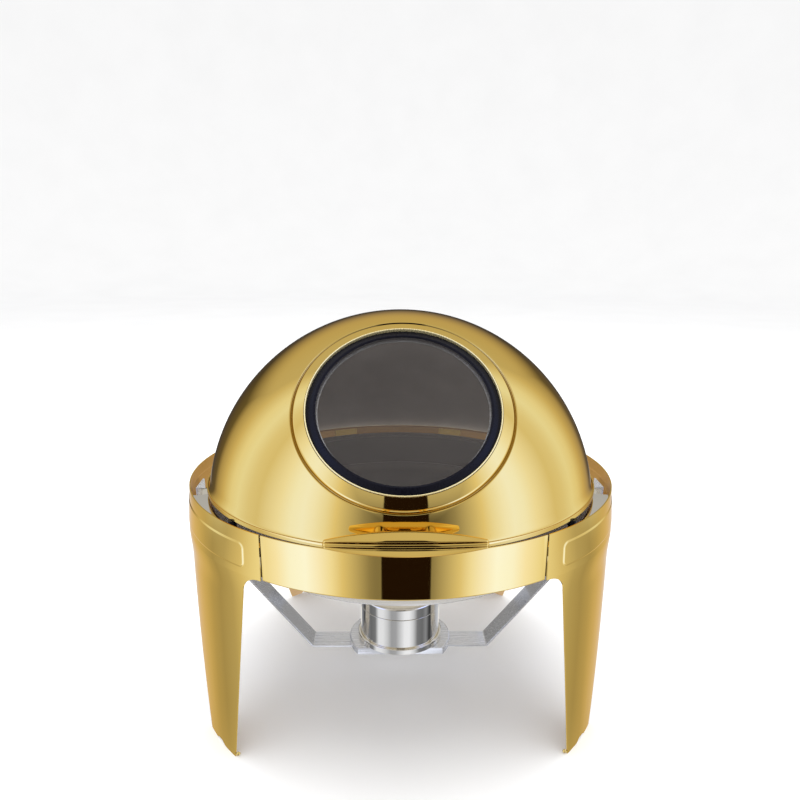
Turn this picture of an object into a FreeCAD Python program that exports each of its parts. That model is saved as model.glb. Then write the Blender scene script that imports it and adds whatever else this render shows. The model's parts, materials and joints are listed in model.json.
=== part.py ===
"""Round roll-top chafing dish: a ring frame on four sheet legs, a domed lid with a window that rolls
back between the pans and the rear of the ring, a water pan, a food pan and a fuel holder on a strap.

Frame: millimetres, +Z up, the floor at Z = 0. The front of the dish, with the handle, faces -Y.
The lid rolls about an axis along X. Everything is drawn with the ring's vertical axis at X = Y = 0;
the finished pieces are then set back so that the origin is the middle of the whole dish on the floor.
"""
import FreeCAD, Part
import math
import os
import Sketcher

DRIVING = {
    # ring frame and legs
    "ring_radius": 225.0,
    "ring_top": 252.0,
    "band_height": 43.0,
    "band_sheet": 1.2,
    "bead_radius": 1.5,
    "front_seam_angle": 33.5,
    "rear_seam_angle": 19.0,
    "seam_gap": 1.5,
    "seam_plate_angle": 8.0,
    "leg_step_drop": 49.0,
    "leg_step_depth": 0.9,
    "foot_spread": 4.0,
    "leg_corner_radius": 17.0,
    "front_foot_inner": 163.0,
    "front_foot_outer": 119.5,
    "rear_foot_inner": 112.0,
    "rear_foot_outer": 172.0,
    "front_arch_start": 75.0,
    "rear_arch_start": 130.0,
    "arch_radius": 45.0,
    "pad_raise": 0.8,
    "pad_top_drop": 12.3,
    "pad_height": 23.7,
    "pad_end_angle": 38.5,
    "pad_corner_radius": 6.0,
    # lid
    "axis_drop": 37.0,
    "dome_radius": 207.5,
    "dome_sheet": 1.0,
    "rim_drop": 4.0,
    "rim_radius": 208.0,
    "rim_inner_radius": 204.1,
    "rim_depth": 4.0,
    "window_tilt": 46.0,
    "seat_distance": 184.0,
    "window_hole_radius": 84.0,
    "glass_radius": 78.5,
    "glass_thickness": 3.4,
    "glass_stand": 2.0,
    "gasket_radius": 87.2,
    "gasket_height": 2.6,
    "trim_radius": 88.4,
    "trim_height": 3.2,
    "retainer_inner_radius": 77.0,
    "retainer_outer_radius": 92.0,
    "handle_half_length": 65.0,
    "handle_radius": 11.0,
    "handle_end_radius": 3.6,
    "handle_reach": 232.0,
    "handle_rise": 9.0,
    "post_spread": 21.0,
    "post_radius": 4.5,
    "screw_radius": 2.0,
    "screw_head_radius": 4.5,
    "screw_head_height": 3.0,
    # hinges
    "ear_half_width": 14.0,
    "ear_sheet": 1.6,
    "ear_lap": 17.0,
    "pin_radius": 4.0,
    "running_clearance": 0.05,
    "fixed_clearance": 0.1,
    "bolt_head_radius": 8.0,
    "bolt_head_height": 3.0,
    "washer_radius": 11.0,
    "washer_thickness": 1.2,
    "hub_radius": 12.0,
    "nut_radius": 8.0,
    "nut_height": 5.0,
    # pans
    "shelf_drop": 13.0,
    "shelf_sheet": 1.2,
    "shelf_inner_radius": 177.0,
    "shelf_ring_radius": 187.0,
    "shelf_front_angle": 152.0,
    "shelf_lip": 9.0,
    "bumper_radius": 4.0,
    "bumper_circle": 207.0,
    "bumper_angle": 50.0,
    "pan_sheet": 0.8,
    "water_pan_radius": 175.5,
    "water_pan_depth": 68.0,
    "water_pan_corner": 13.0,
    "water_pan_flange": 186.0,
    "food_pan_radius": 170.5,
    "food_pan_depth": 47.0,
    "food_pan_corner": 13.0,
    "food_pan_flange": 181.0,
    "food_bead_radius": 1.5,
    "body_gap": 0.3,
    # burner
    "strap_drop": 216.0,
    "strap_width": 31.0,
    "strap_sheet": 2.0,
    "strap_corner": 102.0,
    "strap_knee_drop": 66.0,
    "strap_top_drop": 18.0,
    "tab_clearance": 1.8,
    "platform_radius": 59.5,
    "platform_depth": 68.0,
    "platform_height": 8.0,
    "platform_sheet": 1.5,
    "holder_radius": 46.3,
    "holder_sheet": 0.8,
    "holder_height": 42.0,
    "base_ring_radius": 49.5,
    "base_ring_height": 6.5,
    "cover_height": 14.0,
    "cover_opening": 24.0,
    "cover_spigot": 6.0,
    "can_radius": 42.0,
    "can_height": 38.0,
}

doc = FreeCAD.newDocument("RollTopChafer")
sheet = doc.addObject("Spreadsheet::Sheet", "Dims")
for row, (alias, value) in enumerate(DRIVING.items(), start=1):
    sheet.set(f"A{row}", alias)
    sheet.set(f"B{row}", str(value))
    sheet.setAlias(f"B{row}", alias)
doc.recompute()

NODES = []
X_AXIS = FreeCAD.Vector(1, 0, 0)
Y_AXIS = FreeCAD.Vector(0, 1, 0)
Z_AXIS = FreeCAD.Vector(0, 0, 1)
LEFT, RIGHT = -1, 1
FRONT, REAR = -90, 90

# Heights and radii that several pieces share, as expressions on the sheet.
RING_TOP = "Dims.ring_top"
RING_INSIDE = "(Dims.ring_radius - Dims.band_sheet)"
BAND_BOTTOM = "(Dims.ring_top - Dims.band_height)"
AXIS_HEIGHT = "(Dims.ring_top - Dims.axis_drop)"
RIM_TOP = "(Dims.ring_top - Dims.rim_drop)"
DOME_INSIDE = "(Dims.dome_radius - Dims.dome_sheet)"
SHELF_TOP = "(Dims.ring_top - Dims.shelf_drop)"
WATER_FLANGE_TOP = "(Dims.ring_top - Dims.shelf_drop + Dims.pan_sheet)"
FOOD_FLANGE_TOP = "(Dims.ring_top - Dims.shelf_drop + 2 * Dims.pan_sheet + Dims.body_gap)"
STRAP_TOP = "(Dims.ring_top - Dims.strap_drop)"
HOLDER_BOTTOM = "(Dims.ring_top - Dims.strap_drop + Dims.platform_height + Dims.body_gap)"
TAB_OUTSIDE = "(Dims.ring_radius - Dims.tab_clearance)"
TAB_INSIDE = "(Dims.ring_radius - Dims.tab_clearance - Dims.strap_sheet)"
FIXED_HOLE = "(Dims.pin_radius + Dims.fixed_clearance)"


def evaluate(expression):
    """The present value of an expression on the sheet, as a plain number."""
    result = sheet.evalExpression(str(expression).replace("Dims.", ""))
    return float(getattr(result, "Value", result))


def bind(obj, **expressions):
    """Bind properties of one object to expressions on the sheet."""
    for prop, expression in expressions.items():
        obj.setExpression(prop, str(expression))
    return obj


def primitive(kind, at=(0, 0, 0), turn=None, **expressions):
    """A Part primitive with bound sizes; at holds expressions, turn is an (axis, degrees) pair."""
    obj = doc.addObject("Part::" + kind, kind)
    bind(obj, **expressions)
    if turn:
        obj.Placement.Rotation = FreeCAD.Rotation(*turn)
    for axis, expression in zip("xyz", at):
        obj.setExpression("Placement.Base." + axis, str(expression))
    return obj


def cut(base, tool):
    obj = doc.addObject("Part::Cut", "Cut")
    obj.Base = base
    obj.Tool = tool
    return obj


def fuse(*shapes):
    obj = doc.addObject("Part::MultiFuse", "Fuse")
    obj.Shapes = list(shapes)
    return obj


def common(*shapes):
    obj = doc.addObject("Part::MultiCommon", "Common")
    obj.Shapes = list(shapes)
    return obj


def node(label, obj):
    """Name one finished piece; its label names its file."""
    obj.Label = label
    NODES.append(obj)
    return obj


def group_node(label, solids):
    """One node of identical, separate pieces."""
    obj = doc.addObject("Part::Compound", "Group")
    obj.Links = solids
    return node(label, obj)


def mirrored_node(label, source):
    """The left-hand twin of a right-hand piece."""
    obj = doc.addObject("Part::Mirroring", "Mirror")
    obj.Source = source
    obj.Normal = X_AXIS
    return node(label, obj)


def arc_between(start, end, radius, turn):
    """The short arc from start to end; turn is +1 anticlockwise or -1 clockwise."""
    half = (end - start) * 0.5
    rise = math.sqrt(radius ** 2 - half.Length ** 2)
    across = FreeCAD.Vector(-half.y, half.x, 0).normalize()
    centre = start + half + across * rise * turn
    first, last = (start, end) if turn > 0 else (end, start)
    angles = [math.atan2(point.y - centre.y, point.x - centre.x) for point in (first, last)]
    return Part.ArcOfCircle(Part.Circle(centre, Z_AXIS, radius), *angles)


def attached_sketch(body, role):
    """An empty sketch on one of the body's own origin planes."""
    sketch = body.newObject("Sketcher::SketchObject", "Sketch")
    plane = next(item for item in body.Origin.OriginFeatures if item.Role == role)
    sketch.AttachmentSupport = [(plane, "")]
    sketch.MapMode = "FlatFace"
    return sketch


def constrain(sketch, kind, *places, expression):
    """Add one constraint whose value comes from the sheet."""
    number = sketch.addConstraint(Sketcher.Constraint(kind, *places, evaluate(expression)))
    sketch.setExpression(f"Constraints[{number}]", str(expression))


def outline_sketch(body, role, points):
    """A closed outline. A point is (across, up), or (across, up, radius, turn) where an arc follows."""
    sketch = attached_sketch(body, role)
    corners = [FreeCAD.Vector(evaluate(point[0]), evaluate(point[1]), 0) for point in points]
    first_ends = []
    for index, point in enumerate(points):
        here, there = corners[index], corners[(index + 1) % len(corners)]
        if len(point) == 2:
            sketch.addGeometry(Part.LineSegment(here, there))
            first_ends.append(1)
        else:
            radius, turn = point[2:]
            sketch.addGeometry(arc_between(here, there, evaluate(radius), turn))
            first_ends.append(1 if turn > 0 else 2)
    for index, point in enumerate(points):
        following = (index + 1) % len(points)
        here, there = first_ends[index], first_ends[following]
        sketch.addConstraint(Sketcher.Constraint("Coincident", index, 3 - here, following, there))
        constrain(sketch, "DistanceX", -1, 1, index, here, expression=point[0])
        constrain(sketch, "DistanceY", -1, 1, index, here, expression=point[1])
        if len(point) == 4:
            constrain(sketch, "Radius", index, expression=point[2])
    return sketch


def circle_sketch(body, role, across, up, radius):
    sketch = attached_sketch(body, role)
    place = FreeCAD.Vector(evaluate(across), evaluate(up), 0)
    sketch.addGeometry(Part.Circle(place, Z_AXIS, evaluate(radius)))
    constrain(sketch, "DistanceX", -1, 1, 0, 3, expression=across)
    constrain(sketch, "DistanceY", -1, 1, 0, 3, expression=up)
    constrain(sketch, "Radius", 0, expression=radius)
    return sketch


def revolve(body, sketch, angle="360", axis="V_Axis"):
    """Turn a sketch about one of its own axes, equally to both sides of its plane."""
    feature = body.newObject("PartDesign::Revolution", "Revolution")
    feature.Profile = sketch
    feature.ReferenceAxis = (sketch, [axis])
    feature.Midplane = True
    return bind(feature, Angle=angle)


def turned(label, points, angle="360", facing=0):
    """A piece turned about the Z axis from its (radius, height) outline; facing turns its middle."""
    body = doc.addObject("PartDesign::Body", "Body")
    revolve(body, outline_sketch(body, "XZ_Plane", points), angle)
    body.Placement.Rotation = FreeCAD.Rotation(Z_AXIS, facing)
    return node(label, body)


def pocket_through(body, sketch, reverse=False, both=False):
    """Cut a sketch right through the body, and make sure that it removes something."""
    doc.recompute()
    before = body.Shape.Volume
    feature = body.newObject("PartDesign::Pocket", "Pocket")
    feature.Profile = sketch
    feature.Type = "ThroughAll"
    feature.Reversed = reverse
    feature.Midplane = both
    doc.recompute()
    if body.Shape.Volume > before - 1.0:
        raise RuntimeError(f"a pocket in {body.Label} cut nothing")
    return feature


def rod_along_x(radius, start, length, up=AXIS_HEIGHT, across="0"):
    """A cylinder along +X that starts at X = start."""
    return primitive("Cylinder", (start, across, up), (Y_AXIS, 90), Radius=radius, Height=length)


def rod_along_front(radius, start, length, across, up):
    """A cylinder along -Y that starts at Y = -start."""
    place = (across, f"-({start})", up)
    return primitive("Cylinder", place, (X_AXIS, 90), Radius=radius, Height=length)


def tube_sector(outer, inner, bottom, height, angle, middle):
    """A curved strip of the given angle, centred on the direction middle, in degrees from +X."""
    start = (Z_AXIS, middle - evaluate(angle) / 2)
    place = ("0", "0", bottom)
    solid = primitive("Cylinder", place, start, Radius=outer, Height=height, Angle=angle)
    hollow = primitive("Cylinder", place, Radius=inner, Height=height)
    return cut(solid, hollow)


# ---------------------------------------------------------------------------------------- ring frame

def band(label, seam_angle, facing):
    """A sector of the ring between two seams, with a rolled bead along its lower edge."""
    gap_angle = "Dims.seam_gap / Dims.ring_radius * 180 / pi"
    angle = f"2 * {seam_angle} - {gap_angle}"
    wall = [
        (RING_INSIDE, RING_TOP),
        ("Dims.ring_radius", RING_TOP),
        ("Dims.ring_radius", BAND_BOTTOM),
        (RING_INSIDE, BAND_BOTTOM),
    ]
    body = turned(label, wall, angle, facing)
    across = "Dims.ring_radius - Dims.bead_radius"
    up = f"{BAND_BOTTOM} + Dims.bead_radius"
    revolve(body, circle_sketch(body, "XZ_Plane", across, up, "Dims.bead_radius"), angle)


def right_leg_panel():
    """The side of the ring with its front and rear leg, one bent sheet with a raised pad."""
    leg_top = "(Dims.ring_top - Dims.leg_step_drop - Dims.leg_step_depth)"
    leg_radius = "(Dims.ring_radius - Dims.leg_step_depth)"
    foot_radius = "(Dims.ring_radius + Dims.foot_spread)"
    section = [
        (RING_INSIDE, RING_TOP),
        ("Dims.ring_radius", RING_TOP),
        ("Dims.ring_radius", "Dims.ring_top - Dims.leg_step_drop"),
        (leg_radius, leg_top),
        (foot_radius, "0"),
        (f"{foot_radius} - Dims.band_sheet", "0"),
        (f"{leg_radius} - Dims.band_sheet", leg_top),
        (RING_INSIDE, "Dims.ring_top - Dims.leg_step_drop"),
    ]
    body = doc.addObject("PartDesign::Body", "Body")
    revolve(body, outline_sketch(body, "XZ_Plane", section), "180")
    trim_leg(body, "Dims.front_seam_angle", "Dims.front_foot_inner", front=True)
    trim_leg(body, "Dims.rear_seam_angle", "Dims.rear_foot_inner", front=False)
    open_arch(body)
    hole = rod_along_x(FIXED_HOLE, "0", "2 * Dims.ring_radius")
    return node("leg_panel_right", cut(fuse(body, raised_pad()), hole))


def raised_pad():
    """The panel's raised middle: a curved block through the sheet, its four corners rounded."""
    top = "(Dims.ring_top - Dims.pad_top_drop)"
    outside = "Dims.ring_radius + Dims.pad_raise"
    section = [
        (RING_INSIDE, top),
        (outside, top),
        (outside, f"{top} - Dims.pad_height"),
        (RING_INSIDE, f"{top} - Dims.pad_height"),
    ]
    body = doc.addObject("PartDesign::Body", "Body")
    block = revolve(body, outline_sketch(body, "XZ_Plane", section), "180 - 2 * Dims.pad_end_angle")
    doc.recompute()
    depth = evaluate("Dims.band_sheet + Dims.pad_raise")
    corners = [f"Edge{number}" for number, edge in enumerate(block.Shape.Edges, start=1)
               if abs(edge.Length - depth) < 1e-4]
    rounding = body.newObject("PartDesign::Fillet", "Fillet")
    rounding.Base = (block, corners)
    bind(rounding, Radius="Dims.pad_corner_radius")
    return body


def trim_leg(body, seam_angle, foot_inner, front):
    """Cut the panel back to its seam and to the inner edge of one leg."""
    margin = "Dims.seam_gap"
    seam = f"(Dims.ring_radius * sin({seam_angle}) + Dims.seam_gap / 2)"
    corner = "Dims.leg_corner_radius"
    outline = [
        (f"-{margin}", f"{RING_TOP} + {margin}"),
        (seam, f"{RING_TOP} + {margin}"),
        (seam, BAND_BOTTOM),
        (f"{seam} + {margin}", BAND_BOTTOM, corner, -1),
        (f"{seam} + {margin} + {corner}", f"{BAND_BOTTOM} - {corner}"),
        (foot_inner, "0"),
        (foot_inner, f"-{margin}"),
        (f"-{margin}", f"-{margin}"),
    ]
    pocket_through(body, outline_sketch(body, "XZ_Plane", outline), reverse=front)


def open_arch(body):
    """Cut the wide arch between the front and the rear leg."""
    corner = "Dims.arch_radius"
    spring = f"{BAND_BOTTOM} - {corner}"
    outline = [
        ("-Dims.front_foot_outer", "-Dims.seam_gap"),
        ("-Dims.front_foot_outer", "0"),
        ("-Dims.front_arch_start", spring, corner, -1),
        (f"{corner} - Dims.front_arch_start", BAND_BOTTOM),
        (f"Dims.rear_arch_start - {corner}", BAND_BOTTOM, corner, -1),
        ("Dims.rear_arch_start", spring),
        ("Dims.rear_foot_outer", "0"),
        ("Dims.rear_foot_outer", "-Dims.seam_gap"),
    ]
    pocket_through(body, outline_sketch(body, "YZ_Plane", outline), both=True)


def seam_plates():
    """Four curved plates that join the bands to the leg panels from inside."""
    front = evaluate("Dims.front_seam_angle")
    rear = evaluate("Dims.rear_seam_angle")
    outer = f"{RING_INSIDE} - Dims.fixed_clearance"
    inner = "Dims.ring_radius - 2 * Dims.band_sheet"
    bottom = f"{BAND_BOTTOM} + 2 * Dims.bead_radius"
    height = "Dims.band_height - 4 * Dims.bead_radius"
    middles = (FRONT - front, FRONT + front, REAR - rear, REAR + rear)
    plates = [
        tube_sector(outer, inner, bottom, height, "Dims.seam_plate_angle", middle) for middle in middles
    ]
    group_node("seam_plates", plates)


def pan_shelf():
    """The shelf: a ring under the pans' rims, widened to the ring frame over the front half."""
    thick = "Dims.shelf_sheet"
    inner = "Dims.shelf_inner_radius"
    outer = "Dims.ring_radius - 2 * Dims.band_sheet - Dims.fixed_clearance"
    spread = "Dims.shelf_front_angle"
    ring = tube_sector("Dims.shelf_ring_radius", inner, f"{SHELF_TOP} - {thick}", thick, "360", 0)
    front = tube_sector(outer, inner, f"{SHELF_TOP} - {thick}", thick, spread, FRONT)
    lip = tube_sector(outer, f"{outer} - {thick}", f"{SHELF_TOP} - Dims.shelf_lip", "Dims.shelf_lip",
                      spread, FRONT)
    node("pan_shelf", fuse(ring, front, lip))


def lid_bumpers():
    """Soft pads on the shelf that the closed lid's rim comes down on."""
    height = "Dims.shelf_drop - Dims.rim_drop - Dims.rim_depth - Dims.body_gap"
    pads = []
    for steps in (-1, 0, 1):
        angle = f"({steps} * Dims.bumper_angle)"
        place = (f"Dims.bumper_circle * sin({angle})", f"-Dims.bumper_circle * cos({angle})", SHELF_TOP)
        pads.append(primitive("Cylinder", place, Radius="Dims.bumper_radius", Height=height))
    group_node("lid_bumpers", pads)


# ----------------------------------------------------------------------------------------------- pans

def pan(label, radius, flange, flange_top, depth, corner):
    """A round pan with a flat rim and a rounded bottom corner."""
    thick = "Dims.pan_sheet"
    floor = f"({flange_top} - {depth})"
    outline = [
        ("0", floor),
        (f"{radius} - {corner}", floor, corner, 1),
        (radius, f"{floor} + {corner}"),
        (radius, f"{flange_top} - {thick}"),
        (flange, f"{flange_top} - {thick}"),
        (flange, flange_top),
        (f"{radius} - {thick}", flange_top),
        (f"{radius} - {thick}", f"{floor} + {corner}", f"{corner} - {thick}", -1),
        (f"{radius} - {corner}", f"{floor} + {thick}"),
        ("0", f"{floor} + {thick}"),
    ]
    return turned(label, outline)


def water_pan():
    pan("water_pan", "Dims.water_pan_radius", "Dims.water_pan_flange", WATER_FLANGE_TOP,
        "Dims.water_pan_depth", "Dims.water_pan_corner")


def food_pan():
    """The food pan, whose rim ends in a rolled bead."""
    body = pan("food_pan", "Dims.food_pan_radius", "Dims.food_pan_flange", FOOD_FLANGE_TOP,
               "Dims.food_pan_depth", "Dims.food_pan_corner")
    height = f"{FOOD_FLANGE_TOP} - Dims.pan_sheet + Dims.food_bead_radius"
    bead = circle_sketch(body, "XZ_Plane", "Dims.food_pan_flange", height, "Dims.food_bead_radius")
    revolve(body, bead)


# ------------------------------------------------------------------------------------------------ lid

def lid_sphere(radius):
    """A ball about the roll axis."""
    return primitive("Sphere", ("0", "0", AXIS_HEIGHT), Radius=radius)


def window_frame(distance):
    """The place that lies this far out along the window's own axis, facing outwards."""
    tilt = evaluate("Dims.window_tilt")
    turn = FreeCAD.Rotation(X_AXIS, 90 - tilt)
    out = turn.multVec(Z_AXIS)
    base = FreeCAD.Vector(0, 0, evaluate(AXIS_HEIGHT)) + out * evaluate(distance)
    return FreeCAD.Placement(base, turn)


def window_disc(distance, radius, height):
    """A disc square to the window's axis, from the given distance outwards."""
    disc = doc.addObject("Part::Cylinder", "Disc")
    disc.Placement = window_frame(distance)
    return bind(disc, Radius=radius, Height=height)


def window_ring(label, distance, outer, inner, height):
    disc = window_disc(distance, outer, height)
    return node(label, cut(disc, window_disc(distance, inner, height)))


def lid_shell():
    """The dome: a thin ball cap, pressed flat round the window and drilled for the handle screws."""
    cap_height = "Dims.dome_radius - Dims.seat_distance + Dims.dome_sheet"
    outside = cut(lid_sphere("Dims.dome_radius"),
                  window_disc("Dims.seat_distance", "Dims.dome_radius", cap_height))
    inside = cut(lid_sphere(DOME_INSIDE),
                 window_disc("Dims.seat_distance - Dims.dome_sheet", "Dims.dome_radius", cap_height))
    whole = "2 * Dims.dome_radius"
    below = primitive(
        "Box", ("-Dims.dome_radius", "-Dims.dome_radius", f"{RIM_TOP} - {whole}"),
        Length=whole, Width=whole, Height=whole)
    hole = window_disc("Dims.seat_distance - 5 * Dims.dome_sheet", "Dims.window_hole_radius",
                       "10 * Dims.dome_sheet")
    tools = [inside, below, hole] + [screw_shank(side, "Dims.fixed_clearance") for side in (LEFT, RIGHT)]
    node("lid_shell", cut(outside, fuse(*tools)))


def lid_rim():
    """The lid's turned-out rim with its lip."""
    lip = "(Dims.rim_radius - Dims.band_sheet)"
    outline = [
        ("Dims.rim_inner_radius", RIM_TOP),
        ("Dims.rim_radius", RIM_TOP),
        ("Dims.rim_radius", f"{RIM_TOP} - Dims.rim_depth"),
        (lip, f"{RIM_TOP} - Dims.rim_depth"),
        (lip, f"{RIM_TOP} - Dims.band_sheet"),
        ("Dims.rim_inner_radius", f"{RIM_TOP} - Dims.band_sheet"),
    ]
    turned("lid_rim", outline)


def window():
    """The glass in its black gasket, with a thin trim ring outside and a retaining ring inside."""
    seat = "Dims.seat_distance"
    glass_bottom = f"{seat} + Dims.glass_stand - Dims.glass_thickness"
    node("window_glass", window_disc(glass_bottom, "Dims.glass_radius", "Dims.glass_thickness"))
    window_ring("window_gasket", seat, "Dims.gasket_radius", "Dims.glass_radius", "Dims.gasket_height")
    window_ring("window_trim", seat, "Dims.trim_radius", "Dims.gasket_radius", "Dims.trim_height")
    window_ring("window_retainer", f"{glass_bottom} - Dims.dome_sheet", "Dims.retainer_outer_radius",
                "Dims.retainer_inner_radius", "Dims.dome_sheet")


def handle_bar():
    """The handle: a spindle along X, fullest at its middle."""
    sag = "(Dims.handle_radius - Dims.handle_end_radius)"
    radius = f"(Dims.handle_half_length ^ 2 + {sag} ^ 2) / (2 * {sag})"
    outline = [
        ("-Dims.handle_half_length", "0"),
        ("Dims.handle_half_length", "0"),
        ("Dims.handle_half_length", "Dims.handle_end_radius", radius, 1),
        ("-Dims.handle_half_length", "Dims.handle_end_radius"),
    ]
    body = doc.addObject("PartDesign::Body", "Body")
    revolve(body, outline_sketch(body, "XZ_Plane", outline), axis="H_Axis")
    bind(body, **{
        "Placement.Base.y": "-Dims.handle_reach",
        "Placement.Base.z": f"{RING_TOP} + Dims.handle_rise",
    })
    return node("handle_bar", body)


def handle_place(side):
    """Where one post's axis runs, across and up."""
    return f"{side} * Dims.post_spread", f"{RING_TOP} + Dims.handle_rise"


def screw_shank(side, extra="0"):
    """The straight shank of one handle screw, from inside the dome into its post."""
    start = "Dims.dome_radius - 5 * Dims.screw_head_height"
    length = "5 * Dims.screw_head_height - Dims.screw_head_height / 2"
    return rod_along_front(f"Dims.screw_radius + {extra}", start, length, *handle_place(side))


def handle_posts(bar):
    """Two round posts between the dome and the bar, bored for their screws."""
    posts = []
    for side in (LEFT, RIGHT):
        start = "Dims.dome_radius - 5 * Dims.screw_head_height"
        length = f"Dims.handle_reach - ({start})"
        rod = rod_along_front("Dims.post_radius", start, length, *handle_place(side))
        tools = fuse(bar, lid_sphere("Dims.dome_radius"), screw_shank(side, "Dims.fixed_clearance"))
        posts.append(cut(rod, tools))
    group_node("handle_posts", posts)


def handle_screws():
    """Two screws with round heads bedded on the inside of the dome."""
    screws = []
    for side in (LEFT, RIGHT):
        start = "Dims.dome_radius - 4 * Dims.screw_head_height"
        head = rod_along_front(
            "Dims.screw_head_radius", start, "2 * Dims.screw_head_height", *handle_place(side))
        screws.append(fuse(common(head, lid_sphere(DOME_INSIDE)), screw_shank(side)))
    group_node("handle_screws", screws)


# -------------------------------------------------------------------------------------------- hinges

def right_ear():
    """The lid's side arm: a strip of the ball just inside the dome that hangs down to the pin."""
    outer = f"({DOME_INSIDE} - Dims.fixed_clearance)"
    wall = cut(lid_sphere(outer), lid_sphere(f"{outer} - Dims.ear_sheet"))
    width = "Dims.ear_half_width"
    foot = rod_along_x(width, "0", "Dims.dome_radius")
    lap_height = "Dims.axis_drop - Dims.rim_drop + Dims.ear_lap"
    strip = primitive("Box", ("0", f"-{width}", AXIS_HEIGHT),
                      Length="Dims.dome_radius", Width=f"2 * {width}", Height=lap_height)
    hole = rod_along_x("Dims.pin_radius + Dims.running_clearance", "0", "Dims.dome_radius")
    return node("lid_ear_right", cut(common(wall, fuse(foot, strip)), hole))


def ring_on_pin(label, radius, start, length):
    """A spacer threaded on the right-hand pin."""
    return node(label, cut(rod_along_x(radius, start, length), rod_along_x(FIXED_HOLE, start, length)))


def right_hinge():
    """The fixed side of one hinge, from the bolt's head inside the ear out to the cap nut."""
    ear_outside = f"({DOME_INSIDE} - Dims.fixed_clearance)"
    ear_inside = f"({ear_outside} - Dims.ear_sheet)"
    head_height = "Dims.bolt_head_height"
    head_start = f"({ear_inside} - 2 * Dims.body_gap - {head_height})"
    nut_start = "(Dims.ring_radius + Dims.pad_raise)"
    head = rod_along_x("Dims.bolt_head_radius", head_start, head_height)
    shank_length = f"{shank_end(nut_start)} - {head_start}"
    shank = rod_along_x("Dims.pin_radius", head_start, shank_length)
    bolt = node("hinge_bolt_right", fuse(head, shank))
    washer_start = f"({ear_outside} + Dims.body_gap)"
    washer = ring_on_pin("friction_washer_right", "Dims.washer_radius", washer_start,
                         "Dims.washer_thickness")
    hub_start = f"({washer_start} + Dims.washer_thickness)"
    hub = ring_on_pin("hinge_hub_right", "Dims.hub_radius", hub_start, f"{TAB_INSIDE} - {hub_start}")
    dome_radius = "(Dims.nut_radius ^ 2 + Dims.nut_height ^ 2) / (2 * Dims.nut_height)"
    cap = common(
        primitive("Sphere", (f"{nut_start} + Dims.nut_height - {dome_radius}", "0", AXIS_HEIGHT),
                  Radius=dome_radius),
        rod_along_x("Dims.nut_radius", nut_start, "Dims.nut_height"))
    bore = rod_along_x("Dims.pin_radius", "0", shank_end(nut_start))
    nut = node("hinge_cap_nut_right", cut(cap, bore))
    return {"hinge_bolt_left": bolt, "friction_washer_left": washer, "hinge_hub_left": hub,
            "hinge_cap_nut_left": nut}


def shank_end(nut_start):
    """How far out the bolt's shank reaches into its cap nut."""
    return f"{nut_start} + Dims.nut_height / 2"


# --------------------------------------------------------------------------------------------- burner

def burner_strap():
    """A flat bar bent into a shallow U that hangs across the ring from the two hinge bolts."""
    thick = "Dims.strap_sheet"
    corner = "Dims.strap_corner"
    knee = "(Dims.ring_top - Dims.strap_knee_drop)"
    top = "(Dims.ring_top - Dims.strap_top_drop)"
    slope = f"atan(({knee} - {STRAP_TOP}) / ({TAB_INSIDE} - {corner}))"
    outer_corner = f"({corner} + {thick} * tan({slope} / 2))"
    outer_knee = f"({knee} - {thick} * tan((90 deg - {slope}) / 2))"
    right = [
        (corner, STRAP_TOP),
        (TAB_INSIDE, knee),
        (TAB_INSIDE, top),
        (TAB_OUTSIDE, top),
        (TAB_OUTSIDE, outer_knee),
        (outer_corner, f"{STRAP_TOP} - {thick}"),
    ]
    left = [(f"-{across}", up) for across, up in reversed(right)]
    body = doc.addObject("PartDesign::Body", "Body")
    pad = body.newObject("PartDesign::Pad", "Pad")
    pad.Profile = outline_sketch(body, "XZ_Plane", right + left)
    pad.Midplane = True
    bind(pad, Length="Dims.strap_width")
    hole = circle_sketch(body, "YZ_Plane", "0", AXIS_HEIGHT, FIXED_HOLE)
    pocket_through(body, hole, both=True)
    node("burner_strap", body)


def trimmed_disc(bottom, height, inset):
    """A round plate cut off straight at its front and rear."""
    depth = f"(Dims.platform_depth - 2 * {inset})"
    radius = f"(Dims.platform_radius - {inset})"
    disc = primitive("Cylinder", ("0", "0", bottom), Radius=radius, Height=height)
    bar = primitive("Box", (f"-{radius}", f"-{depth} / 2", bottom),
                    Length=f"2 * {radius}", Width=depth, Height=height)
    return common(disc, bar)


def burner_platform():
    """The pressed plate on the strap that the fuel holder stands on."""
    plate = trimmed_disc(STRAP_TOP, "Dims.platform_height", "0")
    hollow = trimmed_disc(STRAP_TOP, "Dims.platform_height - Dims.platform_sheet", "Dims.platform_sheet")
    node("burner_platform", cut(plate, hollow))


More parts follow.
